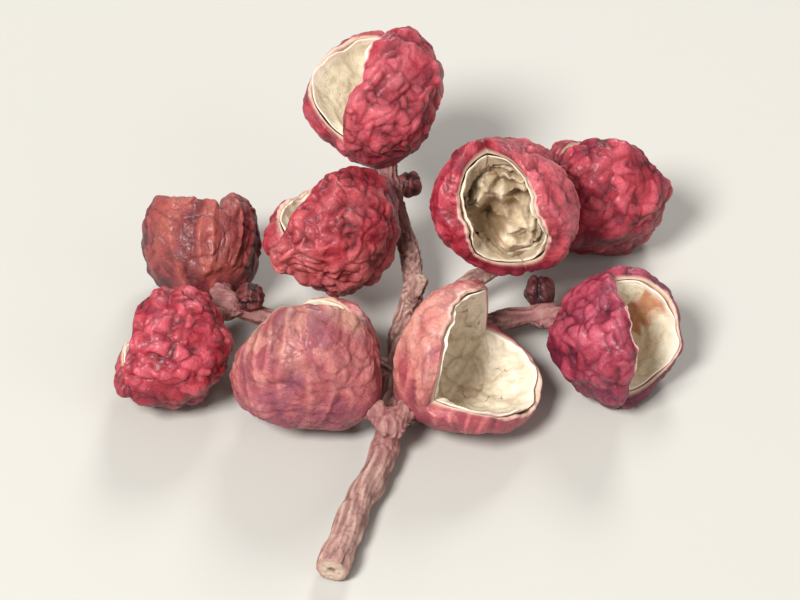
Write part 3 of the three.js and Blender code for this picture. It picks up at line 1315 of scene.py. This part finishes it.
    def lining_out(self, at: Spots) -> Array:
        """Depth of the lining's face that lies against the rind.

        Args:
            at: The places.

        Returns:
            The depth below the rind's skin, in mm.
        """
        near = self.lip_share(at)
        wave = 0.5 + 0.5 * np.sin(11 * at.along + self.seed + np.where(at.turn < math.pi, 0, 2))
        fold = self.lining_fold * smooth_step(wave, 0.35, 1.0) * near**2
        gap = self.lining_gap * blend(1.0, 0.15, near)
        return self.rind_thickness + gap + fold * at.open + 0.7 * self.crumpled(at)[0]

    def lining_in(self, at: Spots) -> Array:
        """Depth of the lining's face that lines the hollow."""
        thick = blend(*self.lining_thickness, self.lip_share(at))
        return self.lining_out(at) + thick + 0.3 * self.crumpled(at)[0]

    def lining(self, effects: SharedEffects) -> Piece:
        """Builds the papery lining, its torn free edge proud of the lip.

        Args:
            effects: The shared node groups.

        Returns:
            The piece.
        """
        layer = Layer(*self.lining_grid, self.lining_out, self.lining_in, 1.0, self.lining_slump)
        mesh, at, _ = self.shell(layer)
        # The crumple's lines darken the lining's creases as painted shade.
        _, lines = self.crumpled(at)
        # The hollow mask is painted shade: darker deeper into the cup, away from the mouth.
        hollow = smooth_step(-(self.ball(at) @ self.mouth_middle), -0.1, 1.0)
        if self.lining_slump:
            folded = self.folded_back(at)
            # Painted shade along the creases between the loose folds.
            lines = np.clip(lines + 1.5 * smooth_step(folded, 0.85, 0.45) * (folded > 0), 0, 1)
            # The lifted folds lose the painted shade.
            hollow *= 1 - smooth_step(folded, 0.55, 0.95)
        write_masks(mesh, rim=self.lip_nearness(at), crease=lines, hollow=hollow)
        material = self.paper.value.material(effects)
        node = "lining_" + self.name
        return finished(edited(mesh, join_edges), "paper_" + self.name, material, node)


# ---- the stalk


def smooth_route(points: Sequence[Point], steps: int = 24) -> Array:
    """A smooth route through points, spaced as a centripetal spline spaces it.

    Args:
        points: The points that it passes.
        steps: How many samples lie between two of them.

    Returns:
        One row for each sample.
    """
    knots = np.array(points, float)
    knots = np.vstack([2 * knots[0] - knots[1], knots, 2 * knots[-1] - knots[-2]])
    t = np.arange(steps)[:, None] / steps
    made = []
    for a, b, c, d in zip(knots, knots[1:], knots[2:], knots[3:]):
        before, span, after = (np.linalg.norm(q - p) ** 0.5 for p, q in ((a, b), (b, c), (c, d)))
        leave = ((b - a) / before - (c - a) / (before + span) + (c - b) / span) * span
        arrive = ((c - b) / span - (d - b) / (span + after) + (d - c) / after) * span
        square = 3 * (c - b) - 2 * leave - arrive
        made.append(b + leave * t + square * t**2 + (2 * (b - c) + leave + arrive) * t**3)
    return np.vstack([*made, knots[-2:-1]])


@dataclass(frozen=True)
class Twig:
    """One twig of the stalk: its route and its radius at both ends, in mm."""

    route: Array
    radius_from: float
    radius_to: float
    sides: int = 28
    swelling: float = 0.06
    swell_step: float = 0.85

    def radii(self) -> Array:
        """The thickness of the twig, with slow swellings.

        Returns:
            The radius at each sample of the route.
        """
        lengths = np.linalg.norm(np.diff(self.route, axis=0), axis=1)
        along = np.concatenate([[0], np.cumsum(lengths)]) / lengths.sum()
        swell = 1 + self.swelling * np.sin(2.9 * along * lengths.sum() / self.swell_step)
        return blend(self.radius_from, self.radius_to, along) * swell

    def directions(self) -> Array:
        """The direction of the route at each sample."""
        return units(np.gradient(self.route, axis=0))

    def add_to(self, bm: bmesh.types.BMesh) -> None:
        """Adds the closed tube of the twig.

        Args:
            bm: The open mesh.
        """
        last = len(self.route) - 1
        mesh, column, row = flat_sheet(self.sides, last + 2)
        ring = np.clip(row - 1, 0, last).astype(int)
        at_cap = (row == 0) | (row == last + 2)
        ways = self.directions()
        flank = units(np.cross(ways, [0.31, 0.17, 1.0]))
        back = np.cross(ways, flank)
        angle = FULL_TURN * (column % self.sides) / self.sides
        radius = np.where(at_cap, 0, self.radii()[ring])[:, None]
        around = np.cos(angle)[:, None] * flank[ring] + np.sin(angle)[:, None] * back[ring]
        write_points(mesh, self.route[ring] + radius * around)
        bm.from_mesh(edited(mesh, join_edges))
        bpy.data.meshes.remove(mesh)


@dataclass
class Stalk:
    """The forked stalk with its receptacle knobs and a broken stub. Lengths are in mm."""

    knobs: dict[str, Point]
    follicles: Sequence[Follicle]
    cut_end: Point = (-1.9, -5.4, 0.6)
    fork: Point = (0.5, 5.6, 1.1)
    cut_radius: float = 0.58
    pedicel_radius: float = 0.34
    stub_radius: float = 0.26
    knob_radius: float = Follicle.knob_radius
    knob_flatten: float = 0.8
    scale_count: int = 6
    scale_lean: float = 68.0
    scale_length: float = 0.34
    scale_radii: Span = (0.2, 0.03)
    scale_reach: float = 0.66
    scale_drop: float = 0.16
    neck_radii: Span = (0.36, 0.42)
    neck_overlap: Span = (0.35, 0.1)
    voxel: float = 0.055
    smoothings: int = 3
    end_reach: float = 0.75
    end_span: Span = (-0.09, -0.03)
    pith_share: float = 0.25
    end_depth: float = 0.05
    fibre_stretch: float = 0.88
    furrow_height: float = 0.035
    fibre_height: float = 0.012
    lump_height: float = 0.03
    ring_depth: float = 0.03
    blush_span: Span = (0.6, 2.2)
    finish: BarkFinish = BarkFinish("bark")

    FURROWS: ClassVar[Ripple] = Ripple(11, 0.27, 18)
    FIBRES: ClassVar[Ripple] = Ripple(12, 0.16, 16)
    LUMPS: ClassVar[Ripple] = Ripple(13, 1.3)
    RINGS: ClassVar[Ripple] = Ripple(14, 0.5, sharpness=6.0)
    SPLITS: ClassVar[Ripple] = Ripple(15, 0.3)

    def twigs(self) -> list[Twig]:
        """The twigs of the stalk.

        Returns:
            The main one first and the stub last.
        """
        bends = [(-1.1, -2.6, 0.6), (-0.1, 0.2, 0.6), (0.2, 3.0, 0.62)]
        main = [self.cut_end, *bends, self.fork, (1.0, 8.4, 1.7), self.knobs["back_left"]]
        pedicels = [
            [(0.0, 0.4, 0.7), self.knobs["front"]],
            [self.fork, (3.0, 6.2, 1.25), self.knobs["right"]],
            [self.fork, (2.6, 7.9, 1.3), self.knobs["back_right"]],
            [(0.3, 4.0, 0.8), (-2.6, 6.0, 1.0), self.knobs["left"]],
        ]
        stub = [self.fork, (0.9, 6.1, 2.4), (1.3, 6.3, 3.6)]
        thin = self.pedicel_radius
        made = [Twig(smooth_route(main), self.cut_radius, thin)]
        made += [Twig(smooth_route(route), thin, thin) for route in pedicels]
        return [*made, Twig(smooth_route(stub), self.stub_radius, self.stub_radius)]

    def add_knob(self, bm: bmesh.types.BMesh, name: str, point: Point) -> None:
        """Adds a knob with the ring of dry scales that its flower left.

        Args:
            bm: The open mesh.
            name: The knob's name, which shuffles its scales.
            point: Its middle.
        """
        place = Matrix.Translation(point) @ Matrix.Diagonal((1, 1, self.knob_flatten, 1))
        bmesh.ops.create_icosphere(bm, subdivisions=4, radius=self.knob_radius, matrix=place)
        root = Matrix.Translation(Vector(point) - Vector((0, 0, self.scale_drop)))
        lean = Matrix.Rotation(math.radians(self.scale_lean), 4, "Y")
        out = Matrix.Translation((0, 0, self.scale_reach))
        for i in range(self.scale_count):
            angle = FULL_TURN * (i + 0.3 * math.sin(7 * i + len(name))) / self.scale_count
            bmesh.ops.create_cone(
                bm,
                cap_ends=True,
                segments=10,
                radius1=self.scale_radii[0],
                radius2=self.scale_radii[1],
                depth=self.scale_length,
                matrix=root @ Matrix.Rotation(angle, 4, "Z") @ lean @ out,
            )

    def neck(self, follicle: Follicle) -> Twig:
        """The short neck on which a follicle sits on its knob.

        Args:
            follicle: The follicle.

        Returns:
            The neck, its ends buried in the knob and in the follicle's foot.
        """
        start = np.array(follicle.knob) + follicle.outward * self.neck_overlap[0]
        end = follicle.foot() + follicle.outward * self.neck_overlap[1]
        return Twig(np.linspace(start, end, 8), *self.neck_radii)

    def add_all(self, bm: bmesh.types.BMesh) -> None:
        """Adds the twigs, knobs and necks.

        Args:
            bm: The open mesh.
        """
        for twig in self.twigs():
            twig.add_to(bm)
        for name, point in self.knobs.items():
            self.add_knob(bm, name, point)
        for follicle in self.follicles:
            self.neck(follicle).add_to(bm)

    def smooth(self, bm: bmesh.types.BMesh) -> None:
        """Evens out the skin.

        Args:
            bm: The open mesh.
        """
        for _ in range(self.smoothings):
            bmesh.ops.smooth_vert(
                bm, verts=bm.verts, factor=0.5, use_axis_x=True, use_axis_y=True, use_axis_z=True
            )

    def skin(self) -> Mesh:
        """Grows all twigs, knobs and necks together.

        Returns:
            Their one closed skin.
        """
        rough = new_mesh("rough stalk", self.add_all)
        holder = add_object("rough stalk", rough)
        remesh = holder.modifiers.new("one skin", "REMESH")
        remesh.mode = "VOXEL"
        remesh.voxel_size = self.voxel
        graph = bpy.context.evaluated_depsgraph_get()
        mesh = bpy.data.meshes.new_from_object(holder.evaluated_get(graph))
        bpy.data.objects.remove(holder)
        bpy.data.meshes.remove(rough)
        return edited(mesh, self.smooth)

    def grain_ways(self, twigs: Sequence[Twig], points: Array) -> Array:
        """The way that the bark runs.

        Args:
            twigs: The twigs.
            points: Points of the skin, one row each.

        Returns:
            The direction of the nearest twig at each point.
        """
        route = np.vstack([twig.route for twig in twigs])
        ways = np.vstack([twig.directions() for twig in twigs])
        tree = kdtree.KDTree(len(route))
        for i, point in enumerate(route):
            tree.insert(point, i)
        tree.balance()
        return ways[[tree.find(point)[1] for point in points]]

    def cut_ends(self, twigs: Sequence[Twig], points: Array) -> tuple[Array, Array]:
        """Where the stalk and the stub were cut.

        Args:
            twigs: The twigs.
            points: Points of the skin, one row each.

        Returns:
            How far each point is on a cut, from 0 to 1, and how far it is from
            the twig's core, as a share of its radius.
        """
        cut = np.zeros(len(points))
        core = np.ones(len(points))
        for twig, last, sign in ((twigs[0], 0, -1), (twigs[-1], -1, 1)):
            tip, way = twig.route[last], sign * twig.directions()[last]
            beyond = (points - tip) @ way
            close = np.linalg.norm(points - tip, axis=1) < self.end_reach
            cut = np.maximum(cut, close * smooth_step(beyond, *self.end_span))
            off_axis = np.linalg.norm(points - tip - beyond[:, None] * way, axis=1)
            core = np.where(close, np.minimum(core, off_axis / twig.radius_from), core)
        return cut, core

    def build(self, effects: SharedEffects) -> Piece:
        """Builds the stalk, its bark furrowed along each twig.

        Args:
            effects: The shared node groups.

        Returns:
            The piece.
        """
        twigs = self.twigs()
        mesh = self.skin()
        points = read_rows(mesh.vertices, "co")
        way = self.grain_ways(twigs, points)
        drawn_out = points - self.fibre_stretch * (points * way).sum(axis=1)[:, None] * way
        furrows = self.FURROWS.at(drawn_out)
        fibres = self.FIBRES.at(drawn_out)
        rings = self.RINGS.creases(points)
        cut, core = self.cut_ends(twigs, points)
        knobs = np.array(list(self.knobs.values()))
        from_knob = np.linalg.norm(points[:, None] - knobs[None], axis=2).min(axis=1)
        height = self.furrow_height * furrows + self.fibre_height * fibres
        height += self.lump_height * self.LUMPS.at(points) - self.ring_depth * rings
        worn = self.SPLITS.creases(points) + (core < self.pith_share)
        height = height * (1 - 0.7 * cut) - self.end_depth * cut * worn
        mesh.update()
        write_points(mesh, points + read_rows(mesh.vertex_normals, "vector") * height[:, None])
        write_masks(
            mesh,
            # ridge is low in the furrows and ring creases, where the bark is painted darker as shade.
            ridge=np.clip(0.5 + 0.3 * furrows + 0.2 * fibres - 0.3 * rings, 0, 1),
            cut=cut,
            core=core,
            blush=1 - smooth_step(from_knob, *self.blush_span),
        )
        return finished(mesh, "bark_stalk", self.finish.material(effects), "stalk")


@dataclass(frozen=True)
class UndevelopedCarpel:
    """A round grain on a knob: a carpel that never grew.

    Its relief is given as shares of its radius.
    """

    name: str
    knob: Point
    offset: Point
    radius: float
    seed: int
    wart_height: float = 0.09
    crease_depth: float = 0.1
    seam_depth: float = 0.12
    seam_offset: float = -0.1
    seam_width: float = 0.006
    seam_span: Span = (-0.2, 0.4)

    def build(self, effects: SharedEffects) -> Piece:
        """Builds the grain with its small warts and closed seam.

        Args:
            effects: The shared node groups.

        Returns:
            The piece.
        """
        mesh = new_mesh("grain", lambda bm: bmesh.ops.create_icosphere(bm, subdivisions=5, radius=1.0))
        ball = read_rows(mesh.vertices, "co")
        cells = Ripple(500 + self.seed, 0.75).at(ball)
        crease = Ripple(520 + self.seed, 0.9, sharpness=4.0).creases(ball)
        from_seam = ball[:, 0] - self.seam_offset
        seam = np.exp(-(from_seam**2) / self.seam_width) * smooth_step(ball[:, 2], *self.seam_span)
        height = self.wart_height * cells - self.crease_depth * crease - self.seam_depth * seam
        centre = np.array(self.knob) + np.array(self.offset)
        write_points(mesh, centre + ball * self.radius * (1 + height)[:, None])
        none = 0 * cells
        # knoll and crease paint a highlight on the grain's bumps and shade in its creases and seam.
        knoll = np.clip(0.5 + 0.5 * cells - 0.5 * seam, 0, 1)
        crease = np.clip(crease + seam, 0, 1)
        write_masks(mesh, knoll=knoll, crease=crease, rim=none, inner=none, tone=none + 0.5, fade=none)
        return finished(mesh, "grain_" + self.name, Rind.DARK.value.material(effects))


# ---- the studio


@dataclass(frozen=True)
class Lamp:
    """A round soft light: where it hangs and how wide it is, in metres, and its watts."""

    name: str
    place: Point
    width: float
    power: float


@dataclass(frozen=True)
class Studio:
    """A pale table, soft light and the camera. Lengths are in metres."""

    elevation: float = 44.0
    lens: float = 150.0
    distance: float = 0.122
    aim: Point = (0.0, 0.0, 0.0034)
    floor_size: float = 4.0
    floor_shades: tuple[str, str] = ("c4c1b9", "bebbb3")
    floor_clouds: float = 9.0
    floor_roughness: float = 0.75
    sky: Colour = (1.0, 0.99, 0.975, 1.0)
    sky_strength: float = 0.24
    lamps: Sequence[Lamp] = (
        Lamp("key", (-0.13, -0.16, 0.25), 0.11, 1.4),
        Lamp("fill", (0.24, -0.16, 0.16), 0.24, 0.22),
        Lamp("back", (0.06, 0.26, 0.2), 0.12, 0.58),
    )

    def build(self) -> None:
        """Sets the floor, the lights, the surround and the camera."""
        self._floor()
        for lamp in self.lamps:
            data = bpy.data.lights.new(lamp.name, "AREA")
            data.shape = "DISK"
            data.size = lamp.width
            data.energy = lamp.power
            self._aimed(add_object(lamp.name, data), lamp.place)
        world = bpy.data.worlds.new("surround")
        world.use_nodes = True
        background = world.node_tree.nodes["Background"].inputs
        background["Color"].default_value = self.sky
        background["Strength"].default_value = self.sky_strength
        bpy.context.scene.world = world
        self._camera()

    def _aimed(self, thing: Piece, place: Point) -> None:
        """Hangs a thing facing the sprig.

        Args:
            thing: The light or camera.
            place: Where it hangs.
        """
        thing.location = place
        thing.rotation_mode = "QUATERNION"
        thing.rotation_quaternion = (Vector(self.aim) - Vector(place)).to_track_quat("-Z", "Y")

    def _floor(self) -> None:
        """Adds the pale table top."""
        half = self.floor_size / 2
        mesh = new_mesh("floor", lambda bm: bmesh.ops.create_grid(bm, x_segments=1, y_segments=1, size=half))
        material, wire, shader = new_material("pale table")
        cloud = wire.noise(wire.place(), self.floor_clouds, detail=4.0)["Fac"]
        wire.feed(shader.inputs["Base Color"], wire.mixed(cloud, *map(srgb, self.floor_shades)))
        wire.feed(shader.inputs["Roughness"], self.floor_roughness)
        mesh.materials.append(material)
        floor = add_object("floor", mesh)

    def _camera(self) -> None:
        """Adds the camera, looking down at the sprig from the front."""
        data = bpy.data.cameras.new("camera")
        data.lens = self.lens
        data.clip_start = 0.001
        camera = add_object("camera", data)
        lift = math.radians(self.elevation)
        back = Vector((0, -math.cos(lift), math.sin(lift)))
        self._aimed(camera, Vector(self.aim) + back * self.distance)
        bpy.context.scene.camera = camera
        bpy.context.scene.view_settings.view_transform = "Standard"


# ---- the sprig

KNOBS: dict[str, Point] = {
    "front": (0.15, 0.9, 1.5),
    "right": (5.9, 6.5, 1.5),
    "back_left": (0.1, 11.3, 3.5),
    "back_right": (5.5, 10.0, 1.7),
    "left": (-5.9, 6.6, 1.85),
}


def sprig_follicles() -> list[Follicle]:
    """The follicles of the sprig.

    Returns:
        The nine of them, by name, knob, radius, axis and mouth, then slit,
        gape, warts, wrinkles, seed, rind and paper, and what is their own.
    """
    front, right, back_left, back_right, left = KNOBS.values()
    return [
        Follicle("front_left", front, 2.7, (-2.8, 2.0, 1.1), (-0.45, 0.65, 0.6),
                 92, 40, 0.35, 0.11, 1, Rind.ROSE, Paper.TAN,
                 wrinkle_way=(0.1, 1.0, 1.1), faded_way=(-0.2, 0.5, 1.0)),
        Follicle("front_right", front, 2.85, (2.95, 1.95, 1.23), (0.74, -0.2, 0.64),
                 104, 54, 0.25, 0.14, 2, Rind.BLUSH, Paper.IVORY, 0.8,
                 wrinkle_way=(0.1, 1.2, 1.7), faded_way=(-0.4, -0.2, 0.9)),
        Follicle("right", right, 2.45, (3.0, -2.2, 0.95), (0.8, -0.38, 0.5),
                 96, 44, 0.9, 0, 3, Rind.PURPLE, Paper.STAINED, lining_fold=0.12),
        Follicle("back_left_near", back_left, 2.4, (-0.62, -0.76, 0.12), (-0.5, 0.6, 0.6),
                 88, 36, 1, 0, 4, Rind.SCARLET, Paper.IVORY,
                 faded_way=(0.1, -0.9, -0.5), crease_depth=0.13),
        Follicle("back_left_far", back_left, 2.6, (-0.15, 0.6, 0.79), (-0.65, 0.1, 0.75),
                 94, 38, 1, 0, 5, Rind.CRIMSON, Paper.IVORY,
                 faded_way=(-0.1, -0.8, 0.5), crease_depth=0.13),
        Follicle("back_right_near", back_right, 2.6, (-0.29, -0.37, 0.89), (-0.1, -0.88, 0.4),
                 84, 46, 0.6, 0.08, 6, Rind.CRIMSON, Paper.TAN, 1.3, faded_way=(0.7, -0.4, 0.6),
                 lining_fold=0.1, lining_hold=0.8, lining_slump=1.9, pleats=0.12),
        Follicle("back_right_far", back_right, 2.45, (0.75, 0.6, 0.22), (0.5, 0.7, 0.5),
                 90, 38, 1, 0, 7, Rind.CRIMSON, Paper.IVORY),
        Follicle("left_far", left, 2.2, (-0.35, 0.9, 0.12), (-0.3, 0.9, 0.25),
                 90, 36, 0.6, 0.13, 8, Rind.RUSSET, Paper.TAN,
                 wrinkle_way=(0.1, 0.9, 0.8), faded_way=(0.3, -0.6, 0.8)),
        Follicle("left_near", left, 2.2, (-0.62, -0.75, 0.09), (-0.7, 0.6, 0.3),
                 90, 40, 1, 0, 9, Rind.CRIMSON, Paper.IVORY),
    ]


CARPELS = [
    UndevelopedCarpel("right", KNOBS["right"], (-0.2, 0.7, 0.5), 0.6, 1),
    UndevelopedCarpel("back_left", KNOBS["back_left"], (0.75, 0.3, -0.1), 0.5, 2),
    UndevelopedCarpel("left", KNOBS["left"], (0.85, 0.1, 0.35), 0.55, 3),
]


def write_sizes() -> None:
    """Brings the scene's evaluated state up to date."""
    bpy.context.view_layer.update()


def main() -> None:
    """Builds the sprig and the studio in order."""
    logging.basicConfig(level=logging.INFO, format="%(name)s: %(message)s")
    effects = SharedEffects.build()
    follicles = sprig_follicles()
    Stalk(KNOBS, follicles).build(effects)
    for follicle in follicles:
        follicle.husk(effects)
        follicle.lining(effects)
    for carpel in CARPELS:
        carpel.build(effects)
    Studio().build()
    write_sizes()


if __name__ == "__main__":
    main()
